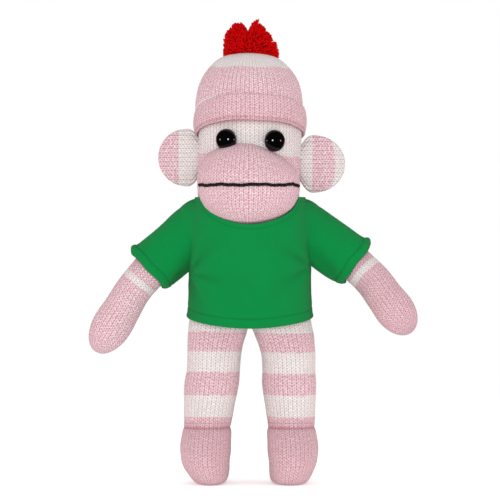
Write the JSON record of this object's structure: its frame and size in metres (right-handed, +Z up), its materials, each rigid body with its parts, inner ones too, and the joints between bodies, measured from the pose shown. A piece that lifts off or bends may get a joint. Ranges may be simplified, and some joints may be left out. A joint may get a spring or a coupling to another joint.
{
  "type": "stuffed monkey",
  "caption": "Jointed stuffed toy monkey of striped knit, with a T-shirt, a cuffed knit hat and a two-lobed yarn pompom; it stands on flat soles.",
  "frame": {"origin": "on the floor under the middle of the toy's overall box", "axes": "+Z up; the toy faces -Y; its own left arm is towards +X"},
  "size_m": [0.2176, 0.0984, 0.3059],
  "materials": {
    "pink_knit": "flat-knitted cotton, marled pink and white",
    "white_knit": "flat-knitted cotton, off-white",
    "green_jersey": "fine cotton jersey, matt",
    "red_yarn": "loose acrylic yarn",
    "black_yarn": "twisted yarn, matt",
    "black_plastic": "polished",
    "clear_plastic": "natural moulded",
    "polyester_filling": "loose fibre",
    "sewing_thread": "matt"
  },
  "bodies": {
    "torso": {"torso_skin": "pink_knit", "torso_filling": "polyester_filling", "shirt_body": "green_jersey", "shirt_neckband": "green_jersey"},
    "neck": {"neck_thread": "sewing_thread"},
    "head": {"head_skin": "white_knit", "head_filling": "polyester_filling", "muzzle_skin": "pink_knit", "muzzle_filling": "polyester_filling", "mouth_yarn": "black_yarn", "eye_left": "black_plastic", "eye_right": "black_plastic", "eye_washer_left": "clear_plastic", "eye_washer_right": "clear_plastic", "hat_crown": "white_knit", "hat_cuff": "pink_knit", "pompom_knot": "red_yarn", "pompom_puff_left": "red_yarn", "pompom_puff_right": "red_yarn"},
    "tail": {"tail_skin": "pink_knit", "tail_filling": "polyester_filling"},
    "shoulder_left": {"shoulder_thread_left": "sewing_thread"},
    "arm_left": {"arm_left_skin": "pink_knit", "arm_left_filling": "polyester_filling", "sleeve_left": "green_jersey"},
    "leg_left": {"leg_left_skin": "white_knit", "leg_left_filling": "polyester_filling"},
    "foot_left": {"foot_left_skin": "pink_knit", "foot_left_filling": "polyester_filling"},
    "ear_left": {"ear_left_skin": "pink_knit", "ear_left_filling": "polyester_filling"},
    "shoulder_right": {"shoulder_thread_right": "sewing_thread"},
    "arm_right": {"arm_right_skin": "pink_knit", "arm_right_filling": "polyester_filling", "sleeve_right": "green_jersey"},
    "leg_right": {"leg_right_skin": "white_knit", "leg_right_filling": "polyester_filling"},
    "foot_right": {"foot_right_skin": "pink_knit", "foot_right_filling": "polyester_filling"},
    "ear_right": {"ear_right_skin": "pink_knit", "ear_right_filling": "polyester_filling"}
  },
  "joints": [
    {"name": "head_turn", "type": "hinge", "parent": "torso", "child": "neck", "pos_m": [-0.00211, 0.00328, 0.15815], "axis": [0, 0, 1], "range_deg": [-15, 15], "stiffness_Nm_per_rad": 0.15},
    {"name": "head_nod", "type": "hinge", "parent": "neck", "child": "head", "pos_m": [-0.00211, 0.00328, 0.15815], "axis": [1, 0, 0], "range_deg": [-12, 12], "stiffness_Nm_per_rad": 0.4},
    {"name": "tail_lift", "type": "hinge", "parent": "torso", "child": "tail", "pos_m": [0.01189, 0.03028, 0.10955], "axis": [1, 0, 0], "range_deg": [0, 60], "stiffness_Nm_per_rad": 0.03},
    {"name": "arm_swing_left", "type": "hinge", "parent": "torso", "child": "shoulder_left", "pos_m": [0.03089, 0.00328, 0.16905], "axis": [-1, 0, 0], "range_deg": [-40, 60], "stiffness_Nm_per_rad": 0.12},
    {"name": "arm_raise_left", "type": "hinge", "parent": "shoulder_left", "child": "arm_left", "pos_m": [0.03089, 0.00328, 0.16905], "axis": [0, -1, 0], "range_deg": [-12, 34], "stiffness_Nm_per_rad": 0.12},
    {"name": "leg_swing_left", "type": "hinge", "parent": "torso", "child": "leg_left", "pos_m": [0.02149, 0.00328, 0.084], "axis": [-1, 0, 0], "range_deg": [-20, 90], "stiffness_Nm_per_rad": 0.6},
    {"name": "foot_flex_left", "type": "hinge", "parent": "leg_left", "child": "foot_left", "pos_m": [0.02549, 0.00328, 0.036], "axis": [-1, 0, 0], "range_deg": [-18, 18], "stiffness_Nm_per_rad": 0.8},
    {"name": "ear_fold_left", "type": "hinge", "parent": "head", "child": "ear_left", "pos_m": [0.03608, 0.00528, 0.21015], "axis": [0, 0, 1], "range_deg": [-35, 35], "stiffness_Nm_per_rad": 0.02},
    {"name": "arm_swing_right", "type": "hinge", "parent": "torso", "child": "shoulder_right", "pos_m": [-0.03511, 0.00328, 0.16905], "axis": [-1, 0, 0], "range_deg": [-40, 60], "stiffness_Nm_per_rad": 0.12},
    {"name": "arm_raise_right", "type": "hinge", "parent": "shoulder_right", "child": "arm_right", "pos_m": [-0.03511, 0.00328, 0.16905], "axis": [0, 1, 0], "range_deg": [-12, 41], "stiffness_Nm_per_rad": 0.12},
    {"name": "leg_swing_right", "type": "hinge", "parent": "torso", "child": "leg_right", "pos_m": [-0.02571, 0.00328, 0.084], "axis": [-1, 0, 0], "range_deg": [-20, 90], "stiffness_Nm_per_rad": 0.6},
    {"name": "foot_flex_right", "type": "hinge", "parent": "leg_right", "child": "foot_right", "pos_m": [-0.02971, 0.00328, 0.036], "axis": [-1, 0, 0], "range_deg": [-18, 18], "stiffness_Nm_per_rad": 0.8},
    {"name": "ear_fold_right", "type": "hinge", "parent": "head", "child": "ear_right", "pos_m": [-0.04031, 0.00528, 0.21435], "axis": [0, 0, -1], "range_deg": [-35, 35], "stiffness_Nm_per_rad": 0.02}
  ]
}
